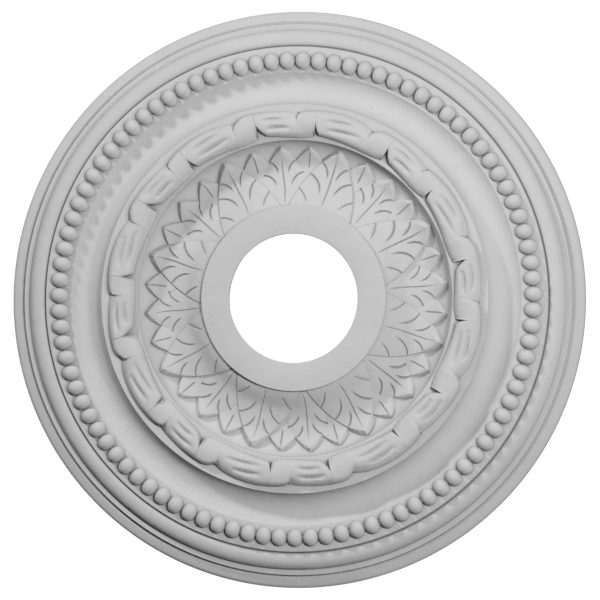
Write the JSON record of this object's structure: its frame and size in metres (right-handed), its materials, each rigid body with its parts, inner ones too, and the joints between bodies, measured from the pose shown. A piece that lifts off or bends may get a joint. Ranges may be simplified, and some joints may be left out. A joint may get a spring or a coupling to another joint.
{
  "type": "ceiling rose",
  "caption": "Round moulded ceiling rose with a central hole, a bowl of carved leaves, a plaited strand, a hollow cove and a beaded border.",
  "frame": {"origin": "axis of the central hole, in the plane of the flat back that lies against the ceiling", "axes": "+Z along the hole's axis, up into the ceiling; the decorated face looks down along -Z; +X and +Y lie in the back's plane"},
  "size_m": [0.4, 0.4, 0.0295],
  "materials": {
    "moulding": "matt pale grey priming on moulded foam"
  },
  "bodies": {
    "root": {"ceiling_rose": "moulding"}
  },
  "joints": []
}
